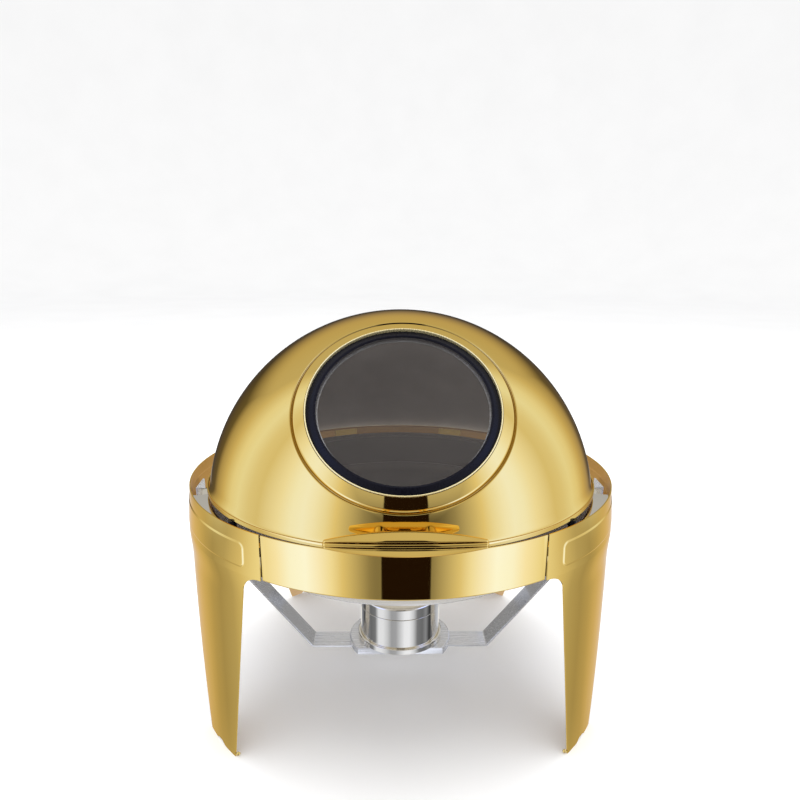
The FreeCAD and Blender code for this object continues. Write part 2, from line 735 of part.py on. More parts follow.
def fuel_holder():
    """The holder's cup, its base ring, the fuel can inside and the cover with the flame opening."""
    radius = "Dims.holder_radius"
    thick = "Dims.holder_sheet"
    top = f"({HOLDER_BOTTOM} + Dims.holder_height)"
    turned("fuel_holder_body", [
        ("0", HOLDER_BOTTOM),
        (radius, HOLDER_BOTTOM),
        (radius, top),
        (f"{radius} - {thick}", top),
        (f"{radius} - {thick}", f"{HOLDER_BOTTOM} + {thick}"),
        ("0", f"{HOLDER_BOTTOM} + {thick}"),
    ])
    turned("fuel_holder_base_ring", [
        (radius, HOLDER_BOTTOM),
        ("Dims.base_ring_radius", HOLDER_BOTTOM),
        ("Dims.base_ring_radius", f"{HOLDER_BOTTOM} + Dims.base_ring_height"),
        (radius, f"{HOLDER_BOTTOM} + Dims.base_ring_height"),
    ])
    can = primitive("Cylinder", ("0", "0", f"{HOLDER_BOTTOM} + {thick}"),
                    Radius="Dims.can_radius", Height="Dims.can_height")
    node("fuel_can", can)
    seam = f"({top} + Dims.body_gap)"
    cover_top = f"({seam} + Dims.cover_height)"
    spigot = f"({radius} - {thick} - Dims.body_gap)"
    turned("fuel_holder_cover", [
        ("Dims.cover_opening", cover_top),
        (radius, cover_top),
        (radius, seam),
        (spigot, seam),
        (spigot, f"{seam} - Dims.cover_spigot"),
        (f"{spigot} - {thick}", f"{seam} - Dims.cover_spigot"),
        (f"{spigot} - {thick}", f"{cover_top} - {thick}"),
        ("Dims.cover_opening", f"{cover_top} - {thick}"),
    ])


# --------------------------------------------------------------------------------------------- object

band("front_band", "Dims.front_seam_angle", FRONT)
band("rear_band", "Dims.rear_seam_angle", REAR)
mirrored_node("leg_panel_left", right_leg_panel())
seam_plates()
pan_shelf()
lid_bumpers()
water_pan()
food_pan()
lid_shell()
lid_rim()
window()
bar = handle_bar()
handle_posts(bar)
handle_screws()
mirrored_node("lid_ear_left", right_ear())
for left_label, right_piece in right_hinge().items():
    mirrored_node(left_label, right_piece)
burner_strap()
burner_platform()
fuel_holder()
doc.recompute()

for obj in doc.Objects:
    if "Invalid" in obj.State or "Error" in obj.State:
        raise RuntimeError(f"{obj.Label} ({obj.Name}) failed: {obj.State}")

overhang = evaluate("Dims.handle_reach + Dims.handle_radius - Dims.ring_radius")
set_back = FreeCAD.Vector(0, overhang / 2, 0)
os.makedirs("parts", exist_ok=True)
for obj in NODES:
    shape = obj.Shape.translated(set_back)
    if shape.isNull() or not shape.isValid() or not shape.Solids:
        raise RuntimeError(f"{obj.Label} has no valid solid")
    shape.exportStep(f"parts/{obj.Label}.step")
    print(f"{obj.Label}: {len(shape.Solids)} solid(s), {shape.Volume:.0f} mm3")
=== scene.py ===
"""Looks of a gold round roll-top chafing dish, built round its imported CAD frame.

Metres, +Z up, front at -Y.
"""
import bmesh
import bpy
import json
import math
from mathutils import Matrix, Vector


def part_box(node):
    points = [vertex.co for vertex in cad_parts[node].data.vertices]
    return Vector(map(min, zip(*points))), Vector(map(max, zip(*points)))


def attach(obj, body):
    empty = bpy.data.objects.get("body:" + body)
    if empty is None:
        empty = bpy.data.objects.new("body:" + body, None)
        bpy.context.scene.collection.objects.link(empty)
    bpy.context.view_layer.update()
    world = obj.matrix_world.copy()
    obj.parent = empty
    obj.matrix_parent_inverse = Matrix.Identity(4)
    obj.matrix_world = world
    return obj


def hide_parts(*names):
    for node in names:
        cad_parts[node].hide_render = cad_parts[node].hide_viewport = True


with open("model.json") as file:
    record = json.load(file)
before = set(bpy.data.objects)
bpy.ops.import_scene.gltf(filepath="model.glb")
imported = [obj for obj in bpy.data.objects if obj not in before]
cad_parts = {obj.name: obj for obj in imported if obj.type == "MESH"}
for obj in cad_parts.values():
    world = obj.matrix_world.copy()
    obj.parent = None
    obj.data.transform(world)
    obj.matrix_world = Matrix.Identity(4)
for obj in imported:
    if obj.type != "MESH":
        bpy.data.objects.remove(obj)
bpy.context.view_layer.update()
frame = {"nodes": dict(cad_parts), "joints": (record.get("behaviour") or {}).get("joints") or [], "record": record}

# ------------------------------------------------------------------------------- sizes from the frame


def low(node):
    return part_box(node)[0]


def high(node):
    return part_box(node)[1]


ROLL = next(joint for joint in frame["joints"] if joint["name"] == "lid_roll")
AXIS = Vector(ROLL["pos_m"])
RING = Matrix.Translation((0, AXIS.y, 0))
RING_TOP = high("front_band").z
BAND_BOTTOM = low("front_band").z
RING_RADIUS = AXIS.y - low("front_band").y
FRONT_SEAM = math.asin(high("front_band").x / RING_RADIUS)
REAR_SEAM = math.asin(high("rear_band").x / RING_RADIUS)
DOME_RADIUS = high("lid_shell").z - AXIS.z
RIM_TOP = high("lid_rim").z
RIM_BOTTOM = low("lid_rim").z
GLASS_RADIUS = high("window_glass").x
GASKET_RADIUS = high("window_gasket").x
TRIM_RADIUS = high("window_trim").x
STRAP_LOW = low("burner_strap").z
STRAP_HALF_WIDTH = high("burner_strap").y - AXIS.y
STRAP_OUTSIDE = high("burner_strap").x
PLATFORM_TOP = high("burner_platform").z
PLATFORM_RADIUS = high("burner_platform").x
PLATFORM_HALF_DEPTH = high("burner_platform").y - AXIS.y
HOLDER_RADIUS = high("fuel_holder_body").x
BAR_HALF_LENGTH = high("handle_bar").x
BAR_RADIUS = (high("handle_bar").z - low("handle_bar").z) / 2
BAR_MIDDLE = (low("handle_bar") + high("handle_bar")) / 2

# What the boxes don't give. Ring and legs: gaps at the seams, flares, feet, arches between the legs.
SHEET = 0.0012
SEAM_MARGIN = 0.00225
HALF_GAP = SEAM_MARGIN / 3
RING_FLARE = 0.0033
FLARE_AT_SEAM = 0.35
SIDE_RISE = 0.35
LEG_BLEND = 0.030
LEG_SET_OUT = 0.0014
FOOT_SPREAD = 0.0050
FRONT_FOOT_INNER = 0.1665
FRONT_FOOT_OUTER = 0.1130
REAR_FOOT_INNER = 0.112
REAR_FOOT_OUTER = 0.172
FOOT_NOTCH = 0.0032
LEG_CORNER = 0.017
ARCH_CORNER = 0.045
FRONT_ARCH_START = 0.075
REAR_ARCH_START = 0.130

# The raised field pressed into each side.
PAD_TOP_DROP = 0.0123
PAD_HEIGHT = 0.0237
PAD_RAISE = 0.0005
PAD_CORNER = 0.006
PAD_SLOPE = 0.0011
PAD_END = math.radians(38.5)

# Lid, window and handle.
DOME_SHEET = 0.001
GASKET_HEIGHT = 0.0026
GASKET_LIP = 0.0042
GLASS_STAND = 0.0034
GLASS_DEPTH = 0.0014
TRIM_RISE = 0.0046
HOLE_RADIUS = 0.084
GROOVE_RADIUS = 0.1002
GROOVE_HALF_WIDTH = 0.0020
GROOVE_DEPTH = 0.0020
RIM_WIDTH = 0.0030
FILLET_HEIGHT = 0.0095
HANDLE_RISE = 0.0025

# Pans and burner.
PAN_SHEET = 0.0008
PAN_CORNER = 0.013
WATER_PAN_RADIUS = 0.1755
FOOD_PAN_RADIUS = 0.1705
FOOD_PAN_BEAD = 0.0015
STRAP_SHEET = 0.002
STRAP_CORNER = 0.102
STRAP_KNEE = 0.186
HOLDER_SHEET = 0.0008
FLAME_OPENING = 0.024

TAU = 2 * math.pi

# Out along the window's own axis, measured from the roll axis.
TO_WINDOW = (low("window_gasket") + high("window_gasket")) / 2 - AXIS
SEAT = TO_WINDOW.length - GASKET_HEIGHT / 2
WINDOW = Matrix.Translation(AXIS) @ TO_WINDOW.to_track_quat("Z", "Y").to_matrix().to_4x4()

# ------------------------------------------------------------------------------------------ materials


def new_tree(name):
    """A node material with only its output, and that output."""
    material = bpy.data.materials.new(name)
    material.use_nodes = True
    material.node_tree.nodes.clear()
    return material, material.node_tree.nodes.new("ShaderNodeOutputMaterial")


def add(tree, kind, inputs=None, **settings):
    """A new node with its settings and unlinked inputs filled in."""
    made = tree.nodes.new(kind)
    for key, value in settings.items():
        setattr(made, key, value)
    for key, value in (inputs or {}).items():
        made.inputs[key].default_value = value
    return made


def colour_at(value):
    """An opaque colour from a grey level or from its red, green and blue."""
    return (*(value if isinstance(value, tuple) else (value,) * 3), 1)


def blended(tree, factor, first, second, blend_type="MIX"):
    """A blend of two colours by a factor, each a socket or a plain value.

    The Mix node's colour inputs are its sockets 6 and 7, and its colour result is output 2.
    """
    mix = add(tree, "ShaderNodeMix", data_type="RGBA", blend_type=blend_type)
    if isinstance(factor, (int, float)):
        mix.inputs["Factor"].default_value = factor
    else:
        tree.links.new(factor, mix.inputs["Factor"])
    for index, value in ((6, first), (7, second)):
        if isinstance(value, (int, float, tuple)):
            mix.inputs[index].default_value = colour_at(value)
        else:
            tree.links.new(value, mix.inputs[index])
    return mix.outputs[2]


def ranged(tree, socket, lowest, highest, source=(0.3, 0.7)):
    """Spread a texture's middle range over lowest to highest."""
    node = add(tree, "ShaderNodeMapRange", {
        "From Min": source[0], "From Max": source[1], "To Min": lowest, "To Max": highest})
    tree.links.new(socket, node.inputs["Value"])
    return node.outputs["Result"]


def noise(tree, scale, stretch=(1, 1, 1), detail=3.0):
    """Noise in the object's own metres; stretch multiplies the frequency along each axis."""
    place = add(tree, "ShaderNodeTexCoord")
    mapping = add(tree, "ShaderNodeMapping", {"Scale": stretch})
    texture = add(tree, "ShaderNodeTexNoise", {"Scale": scale, "Detail": detail})
    tree.links.new(place.outputs["Object"], mapping.inputs["Vector"])
    tree.links.new(mapping.outputs["Vector"], texture.inputs["Vector"])
    return texture.outputs["Fac"]


def spun(tree, scale):
    """Fine rings about the dish's upright axis, as a lathe leaves them."""
    place = add(tree, "ShaderNodeTexCoord")
    centred = add(tree, "ShaderNodeMapping", {"Location": (0, -AXIS.y, 0)})
    wave = add(tree, "ShaderNodeTexWave", {"Scale": scale, "Distortion": 1.2, "Detail": 2.0},
               wave_type="RINGS", rings_direction="Z")
    tree.links.new(place.outputs["Object"], centred.inputs["Vector"])
    tree.links.new(centred.outputs["Vector"], wave.inputs["Vector"])
    return wave.outputs["Fac"]


def metal(name, tints, roughness, grain, grain_strength, grain_height=0.00002, edge=(1, 1, 1), metallic=1.0):
    """Metal with cloudy colour, roughness that follows its grain, and a fine relief of that grain."""
    material, output = new_tree(name)
    tree = material.node_tree
    shader = add(tree, "ShaderNodeBsdfPrincipled", {"Metallic": metallic, "Specular Tint": (*edge, 1)})
    clouds = noise(tree, 14.0)
    tree.links.new(blended(tree, ranged(tree, clouds, 0.0, 1.0), *tints), shader.inputs["Base Color"])
    texture = grain(tree)
    tree.links.new(ranged(tree, texture, *roughness), shader.inputs["Roughness"])
    bump = add(tree, "ShaderNodeBump", {"Strength": grain_strength, "Distance": grain_height})
    tree.links.new(texture, bump.inputs["Height"])
    tree.links.new(bump.outputs["Normal"], shader.inputs["Normal"])
    tree.links.new(shader.outputs["BSDF"], output.inputs["Surface"])
    return material


def coated(name, tints, roughness, scale, relief, specular=0.5, alpha=1.0):
    """A non-metal with mottled colour and roughness and a soft grain."""
    material, output = new_tree(name)
    tree = material.node_tree
    shader = add(tree, "ShaderNodeBsdfPrincipled", {"Specular IOR Level": specular, "Alpha": alpha})
    texture = noise(tree, scale, detail=5.0)
    tree.links.new(blended(tree, ranged(tree, texture, 0.0, 1.0), *tints), shader.inputs["Base Color"])
    tree.links.new(ranged(tree, texture, *roughness), shader.inputs["Roughness"])
    bump = add(tree, "ShaderNodeBump", {"Strength": relief, "Distance": 0.0001})
    tree.links.new(texture, bump.inputs["Height"])
    tree.links.new(bump.outputs["Normal"], shader.inputs["Normal"])
    tree.links.new(shader.outputs["BSDF"], output.inputs["Surface"])
    return material


def polish_marks(tree):
    return noise(tree, 900.0, (1, 1, 0.03), 4.0)


def sheet_grain(tree):
    return noise(tree, 1600.0, (0.02, 1, 1), 2.0)


def lathe_grain(tree):
    return spun(tree, 700.0)


GOLD_EDGE = (0.87, 0.69, 0.46)


def polished_gold(name):
    return metal(name, ((0.94, 0.660, 0.185), (0.93, 0.668, 0.200)), (0.02, 0.045), polish_marks, 0.03,
                 edge=GOLD_EDGE)


MATERIALS = {
    "gold_plate": polished_gold("gold_plate"),
    "stainless": metal("stainless", ((0.84, 0.84, 0.845), (0.90, 0.90, 0.905)), (0.20, 0.30),
                       sheet_grain, 0.03, metallic=0.62),
    "polished_steel": metal("polished_steel", ((0.84, 0.785, 0.67), (0.88, 0.825, 0.70)), (0.03, 0.07),
                            polish_marks, 0.04),
    "smoked_glass": coated("smoked_glass", ((0.050, 0.045, 0.044), (0.062, 0.056, 0.054)), (0.01, 0.03),
                           9.0, 0.01, specular=0.6, alpha=0.34),
    "black_gasket": coated("black_gasket", ((0.003, 0.003, 0.007), (0.005, 0.005, 0.010)), (0.24, 0.34),
                           600.0, 0.12, specular=0.16),
    "nylon": coated("nylon", ((0.78, 0.77, 0.73), (0.84, 0.83, 0.79)), (0.45, 0.60), 400.0, 0.15),
    "can_metal": metal("can_metal", ((0.62, 0.62, 0.63), (0.68, 0.68, 0.69)), (0.22, 0.34),
                       lathe_grain, 0.10),
}


def painted_shade_in_gaps(material, reach, first, last, shade):
    """Paint shade into a metal's colour where its neighbours shut the light out: fully below first, not at all
    above last.
    """
    tree = material.node_tree
    shader = next(node for node in tree.nodes if node.type == "BSDF_PRINCIPLED")
    openness = add(tree, "ShaderNodeAmbientOcclusion", {"Distance": reach}, samples=8)
    plain = shader.inputs["Base Color"].links[0].from_socket
    share = ranged(tree, openness.outputs["AO"], 0.0, 1.0, source=(first, last))
    tree.links.new(blended(tree, share, shade, plain), shader.inputs["Base Color"])
    return material


# Gold for the seam plates with painted shade: near black where they lie deep in the seams' narrow gaps.
SEAM_GOLD_PAINTED_SHADE = painted_shade_in_gaps(polished_gold("seam_gold_painted_shade"), 0.006, 0.5, 0.8, (0.02, 0.01, 0.004))
# Dome gold with painted shade: darker in the groove round the window and where other pieces stand close.
DOME_GOLD_PAINTED_SHADE = painted_shade_in_gaps(polished_gold("dome_gold_painted_shade"), 0.003, 0.45, 0.85, (0.10, 0.05, 0.012))
# A warmer gold for the handle, with painted shade in its grooves and at its posts.
CAST_GOLD_PAINTED_SHADE = painted_shade_in_gaps(
    metal("cast_gold_painted_shade", ((1.0, 0.69, 0.185), (0.98, 0.66, 0.17)), (0.03, 0.06), polish_marks, 0.06,
          edge=GOLD_EDGE),
    0.003, 0.50, 0.88, (0.12, 0.05, 0.01))
# A paler, half-diffuse gold for the window's trim ring: a painted highlight that keeps it bright.
TRIM_PAINTED_HIGHLIGHT = metal("trim_painted_highlight", ((0.98, 0.86, 0.50), (0.97, 0.84, 0.46)), (0.22, 0.32), polish_marks, 0.05,
                  metallic=0.6)
GOLD_INSIDE = metal("gold_inside", ((0.70, 0.42, 0.15), (0.62, 0.37, 0.13)), (0.30, 0.42), sheet_grain, 0.15,
                    edge=GOLD_EDGE)
# Dark copper-brown for the inside of the lid's lip: painted shade under the flange.
LIP_PAINTED_SHADE = metal("lip_painted_shade", ((0.30, 0.15, 0.08), (0.42, 0.22, 0.12)), (0.26, 0.40), polish_marks, 0.10)
SPUN_STEEL = metal("spun_steel", ((0.74, 0.71, 0.66), (0.80, 0.77, 0.72)), (0.22, 0.34), lathe_grain, 0.08,
                   metallic=0.55)
DOME_LINING = metal("dome_lining", ((0.66, 0.59, 0.53), (0.86, 0.80, 0.73)), (0.28, 0.44), sheet_grain, 0.15,
                    metallic=0.8)

# --------------------------------------------------------------------------------------- mesh helpers


def rounded(corners, steps=5):
    """Outline points from (across, up, radius) corners, with an arc of that radius in each corner."""
    points = []
    for index, (across, up, radius) in enumerate(corners):
        here = Vector((across, up))
        if radius == 0:
            points.append(here)
            continue
        back = (Vector(corners[index - 1][:2]) - here).normalized()
        ahead = (Vector(corners[(index + 1) % len(corners)][:2]) - here).normalized()
        half = back.angle(ahead) / 2
        centre = here + (back + ahead).normalized() * radius / math.sin(half)
        first = here + back * radius / math.tan(half) - centre
        last = here + ahead * radius / math.tan(half) - centre
        start = math.atan2(first.y, first.x)
        sweep = math.remainder(math.atan2(last.y, last.x) - start, TAU)
        for step in range(steps + 1):
            angle = start + sweep * step / steps
            points.append(centre + Vector((math.cos(angle), math.sin(angle))) * radius)
    return points


def spread(first, last, count):
    """count + 1 evenly spaced values from first to last."""
    return [first + (last - first) * step / count for step in range(count + 1)]


def make_object(name, work, sharp_angle=38):
    """Turn a bmesh into an object with clean normals."""
    bmesh.ops.remove_doubles(work, verts=work.verts, dist=1e-6)
    bmesh.ops.recalc_face_normals(work, faces=work.faces)
    mesh = bpy.data.meshes.new(name)
    work.to_mesh(mesh)
    work.free()
    mesh.shade_smooth()
    mesh.set_sharp_from_angle(angle=math.radians(sharp_angle))
    made = bpy.data.objects.new(name, mesh)
    bpy.context.scene.collection.objects.link(made)
    return made


def dress(made, body, slot, *nodes, materials=None):
    """Give a piece its material and the body it rides on, and let it stand for its CAD nodes."""
    for material in materials or [MATERIALS[slot]]:
        made.data.materials.append(material)
    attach(made, body)
    if nodes:
        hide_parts(*nodes)
    return made


def weigh_normals(made):
    made.modifiers.new("Flat faces stay flat", "WEIGHTED_NORMAL").keep_sharp = True


def soften_edges(made, width=0.0003, segments=2):
    """Round the free edges of a sheet a little, so that they catch the light."""
    bevel = made.modifiers.new("Soft edges", "BEVEL")
    bevel.width = width
    bevel.segments = segments
    bevel.limit_method = "ANGLE"
    bevel.angle_limit = math.radians(50)
    bevel.harden_normals = True


def thicken(made, thickness, inside_material=0):
    """Give a surface its sheet thickness, inwards."""
    solid = made.modifiers.new("Sheet", "SOLIDIFY")
    solid.thickness = thickness
    solid.offset = -1
    solid.material_offset = inside_material
    solid.use_quality_normals = True


def skin(work, rows, closed_rows=False, closed_columns=False):
    """Faces between neighbouring rows of vertices."""
    pairs = list(zip(rows, rows[1:])) + ([(rows[-1], rows[0])] if closed_rows else [])
    for here, there in pairs:
        count = len(here)
        for index in range(count if closed_columns else count - 1):
            following = (index + 1) % count
            work.faces.new((here[index], here[following], there[following], there[index]))


def turned(work, outline, place, angles):
    """A row of vertices for each angle, from a (radius, height) outline; angles run from the front to +X."""
    rows = []
    for angle in angles:
        across, along = math.sin(angle), -math.cos(angle)
        rows.append([
            work.verts.new(place @ Vector((point.x * across, point.x * along, point.y)))
            for point in outline])
    return rows


def lathe(name, outline, place=RING, start=0.0, turn=TAU, steps=180):
    """Turn a closed (radius, height) outline about the Z axis of place."""
    work = bmesh.new()
    whole = turn == TAU
    count = steps if whole else steps + 1
    rows = turned(work, outline, place, spread(start, start + turn, steps)[:count])
    skin(work, rows, closed_rows=whole, closed_columns=True)
    if not whole:
        work.faces.new(rows[0])
        work.faces.new(rows[-1])
    made = make_object(name, work)
    weigh_normals(made)
    return made


def extruded(name, outline, place, depth):
    """A flat outline made solid, equally to both sides of its plane."""
    work = bmesh.new()
    rows = [[work.verts.new(place @ Vector((point.x, point.y, side * depth / 2))) for point in outline]
            for side in (-1, 1)]
    skin(work, rows, closed_columns=True)
    work.faces.new(rows[0])
    work.faces.new(rows[1])
    return make_object(name, work)


# ----------------------------------------------------------------------------------------- ring frame


def from_axis(point):
    """How far a point is from the ring's upright axis."""
    return math.hypot(point.x, point.y - AXIS.y)


def make_band(name, node, seam_angle, facing):
    """A sector of the ring whose lower edge is rolled inwards."""
    inside = RING_RADIUS - SHEET
    roll = 0.003
    outline = rounded([
        (inside, RING_TOP, 0.0004),
        (RING_RADIUS, RING_TOP, 0.0005),
        (RING_RADIUS, BAND_BOTTOM, 0.0014),
        (RING_RADIUS - roll, BAND_BOTTOM, 0.0014),
        (RING_RADIUS - roll, BAND_BOTTOM + roll, 0.0008),
        (inside, BAND_BOTTOM + roll, 0),
    ])
    half = seam_angle - HALF_GAP / RING_RADIUS
    made = lathe(name, outline, start=facing - half, turn=2 * half, steps=96)
    for face in made.data.polygons:
        if from_axis(face.center) < RING_RADIUS - 0.8 * SHEET:
            face.material_index = 1
    soften_edges(made, 0.0004)
    made.visible_glossy = False
    dress(made, "frame", "gold_plate", node, materials=[MATERIALS["gold_plate"], GOLD_INSIDE])


def smooth_step(value, first, last):
    share = min(1.0, max(0.0, (value - first) / (last - first)))
    return share * share * (3 - 2 * share)


def pad_raise(angle, height):
    """How far the panel is pressed out here: a raised field with rounded corners."""
    half_width = (math.pi - 2 * PAD_END) / 2 * RING_RADIUS
    half_height = PAD_HEIGHT / 2
    across = abs(angle - math.pi / 2) * RING_RADIUS - half_width + PAD_CORNER
    up = abs(height - (RING_TOP - PAD_TOP_DROP - half_height)) - half_height + PAD_CORNER
    outside = math.hypot(max(across, 0), max(up, 0)) + min(max(across, up), 0) - PAD_CORNER
    return PAD_RAISE * smooth_step(-outside, 0.0, PAD_SLOPE)


def panel_radius(angle, height):
    """The panel's outside. The ring part flares downwards, less so near the seams, and the legs flare too."""
    to_side = min(angle - FRONT_SEAM, math.pi - REAR_SEAM - angle)
    share = FLARE_AT_SEAM + (1 - FLARE_AT_SEAM) * smooth_step(to_side, 0.0, SIDE_RISE)
    if height >= BAND_BOTTOM:
        down = (RING_TOP - height) / (RING_TOP - BAND_BOTTOM)
        return RING_RADIUS + share * RING_FLARE * down
    leg = LEG_SET_OUT + (FOOT_SPREAD - LEG_SET_OUT) * (1 - height / BAND_BOTTOM)
    blend = smooth_step(BAND_BOTTOM - height, 0.0, LEG_BLEND)
    return RING_RADIUS + leg * blend + share * RING_FLARE * (1 - blend)


def edge_place(height, top_start, corner, foot):
    """Where a leg's edge runs at this height: an arc under the band, then straight to the foot."""
    spring = BAND_BOTTOM - corner
    if height > spring:
        return top_start + corner * math.sqrt(max(0.0, 1 - ((height - spring) / corner) ** 2))
    return foot + (top_start + corner - foot) * height / spring


def leg_edges(height, rear):
    """The angles of a leg's two edges at this height, from the front seam's side to the rear seam's."""
    radius = RING_RADIUS + FOOT_SPREAD * (1 - height / BAND_BOTTOM)
    seam = math.sin(REAR_SEAM if rear else FRONT_SEAM) * RING_RADIUS + SEAM_MARGIN
    inner_foot = REAR_FOOT_INNER if rear else FRONT_FOOT_INNER
    inner = math.asin(edge_place(height, seam, LEG_CORNER, inner_foot) / radius)
    if rear:
        outer = edge_place(height, REAR_ARCH_START - ARCH_CORNER, ARCH_CORNER, REAR_FOOT_OUTER)
        return math.acos(-outer / radius), math.pi - inner
    outer = edge_place(height, FRONT_ARCH_START - ARCH_CORNER, ARCH_CORNER, FRONT_FOOT_OUTER)
    return inner, math.acos(outer / radius)


def foot_rise(share):
    """The shallow notch in a foot's lower edge."""
    return FOOT_NOTCH * smooth_step(share, 0.34, 0.48) * (1 - smooth_step(share, 0.58, 0.72))


def panel_point(side, angle, height, lift=0.0):
    radius = panel_radius(angle, height) + (pad_raise(angle, height) if height > BAND_BOTTOM else 0)
    place = Vector((side * radius * math.sin(angle), -radius * math.cos(angle), height + lift))
    return RING @ place


def panel_columns():
    """The angles of the panel's columns: front leg, arch and rear leg, closer together at the pad's ends."""
    front = leg_edges(BAND_BOTTOM, rear=False)
    rear = leg_edges(BAND_BOTTOM, rear=True)
    front_fine_end = PAD_END + 0.045
    rear_fine_start = math.pi - front_fine_end
    rear_fine_end = math.pi - PAD_END + 0.01
    front_leg = spread(front[0], front_fine_end, 34) + spread(front_fine_end, front[1], 56)[1:]
    arch = spread(front[1], rear[0], 40)[1:-1]
    rear_leg = (spread(rear[0], rear_fine_start, 44)
                + spread(rear_fine_start, rear_fine_end, 24)[1:]
                + spread(rear_fine_end, rear[1], 24)[1:])
    return front_leg, arch, rear_leg


def panel_heights():
    """The heights of the rows of the ring part, closer together at the pad's top and bottom."""
    pad_top = RING_TOP - PAD_TOP_DROP
    pad_bottom = pad_top - PAD_HEIGHT
    edge, inside = 0.001, 0.007
    return (spread(RING_TOP, pad_top + edge, 5)
            + spread(pad_top + edge, pad_top - inside, 16)[1:]
            + spread(pad_top - inside, pad_bottom + inside, 4)[1:]
            + spread(pad_bottom + inside, pad_bottom - edge, 16)[1:]
            + spread(pad_bottom - edge, BAND_BOTTOM, 4)[1:])


def leg_heights():
    """The heights of the rows of the legs, closer together along the arcs at their tops."""
    arcs = {BAND_BOTTOM - corner * (1 - math.cos(angle))
            for corner in (LEG_CORNER, ARCH_CORNER) for angle in spread(0.1, math.pi / 2, 14)}
    return sorted(arcs | set(spread(0.0, BAND_BOTTOM - ARCH_CORNER, 40)), reverse=True)


def add_leg(work, side, leg_columns, above, is_rear):
    """Rows of one leg down from the ring part's lowest row."""
    first, last = leg_edges(BAND_BOTTOM, is_rear)
    shares = [(angle - first) / (last - first) for angle in leg_columns]
    for height in leg_heights():
        start, end = leg_edges(height, is_rear)
        row = []
        for share in shares:
            lift = foot_rise(1 - share if is_rear else share) * (1 - height / BAND_BOTTOM)
            row.append(work.verts.new(panel_point(side, start + (end - start) * share, height, lift)))
        skin(work, [above, row])
        above = row


def make_leg_panel(name, node, side):
    """One side of the ring with its front and rear leg: a single bent sheet with a pressed field."""
    work = bmesh.new()
    front_leg, arch, rear_leg = panel_columns()
    seam_start = FRONT_SEAM + HALF_GAP / RING_RADIUS
    seam_end = math.pi - REAR_SEAM - HALF_GAP / RING_RADIUS
    columns = [seam_start] + front_leg + arch + rear_leg + [seam_end]
    rows = [[work.verts.new(panel_point(side, angle, height)) for angle in columns]
            for height in panel_heights()]
    skin(work, rows)
    rear_offset = 1 + len(front_leg) + len(arch)
    add_leg(work, side, front_leg, rows[-1][1:1 + len(front_leg)], is_rear=False)
    add_leg(work, side, rear_leg, rows[-1][rear_offset:rear_offset + len(rear_leg)], is_rear=True)
    made = make_object(name, work, sharp_angle=60)
    thicken(made, SHEET, inside_material=1)
    soften_edges(made)
    made.visible_glossy = False
    dress(made, "frame", "gold_plate", node, materials=[MATERIALS["gold_plate"], GOLD_INSIDE])


def make_foot_tips():
    """The small curled ends of the legs' hems, one at each foot's inner corner."""
    work = bmesh.new()
    size = 0.0022
    past_edge = 0.004
    for side in (-1, 1):
        for is_rear in (False, True):
            inner = leg_edges(0, is_rear)[1 if is_rear else 0]
            radius = RING_RADIUS + FOOT_SPREAD - SHEET - size * 0.8
            angle = inner + (past_edge if is_rear else -past_edge)
            place = RING @ Matrix.Translation(
                (side * radius * math.sin(angle), -radius * math.cos(angle), size))
            outline = [
                Vector((math.sin(latitude), 0.8 * math.cos(latitude) + 0.2 * math.cos(3 * latitude))) * size
                for latitude in spread(0.12, math.pi - 0.12, 12)]
            rows = list(zip(*turned(work, outline, place, spread(0, TAU, 20)[:-1])))
            skin(work, rows, closed_columns=True)
            work.faces.new(rows[0])
            work.faces.new(rows[-1])
    dress(make_object("foot_tips", work), "frame", "gold_plate")


# ----------------------------------------------------------------------------------------------- pans


def make_pan(name, body, radius, bead, node):
    """A drawn pan: a rim, rolled up at its edge where it has a bead, an upright wall and a round corner."""
    flange = high(node).x
    floor = low(node).z
    rim = high(node).z - bead
    thick, corner = PAN_SHEET, PAN_CORNER
    edge = [
        (flange, rim - thick, 0.0003),
        (flange, rim, 0.0003),
    ]
    if bead:
        edge = [
            (flange, rim - thick, 0.0003),
            (flange, rim + bead, 0.0013),
            (flange - 2 * bead, rim + bead, 0.0013),
            (flange - 2 * bead, rim, 0.0002),
        ]
    outline = rounded([
        (0, floor, 0),
        (radius, floor, corner),
        (radius, rim - thick, 0.0012),
        *edge,
        (radius - thick, rim, 0.0016),
        (radius - thick, floor + thick, corner - thick),
        (0, floor + thick, 0),
    ], steps=8)
    made = lathe(name, outline, steps=200)
    dress(made, body, "stainless", node, materials=[SPUN_STEEL])


# ------------------------------------------------------------------------------------------------ lid


def dome_radius_at(height):
    """How far the dome's outside is from its upright axis at this height."""
    return math.sqrt(DOME_RADIUS ** 2 - (height - AXIS.z) ** 2)


def dome_surface(across):
    """How far out along the window's axis the dome is, this far from that axis, with the fine groove."""
    from_groove = min(1.0, abs(across - GROOVE_RADIUS) / GROOVE_HALF_WIDTH)
    dip = GROOVE_DEPTH * (1 + math.cos(math.pi * from_groove)) / 2
    return math.sqrt(DOME_RADIUS ** 2 - across ** 2) - dip


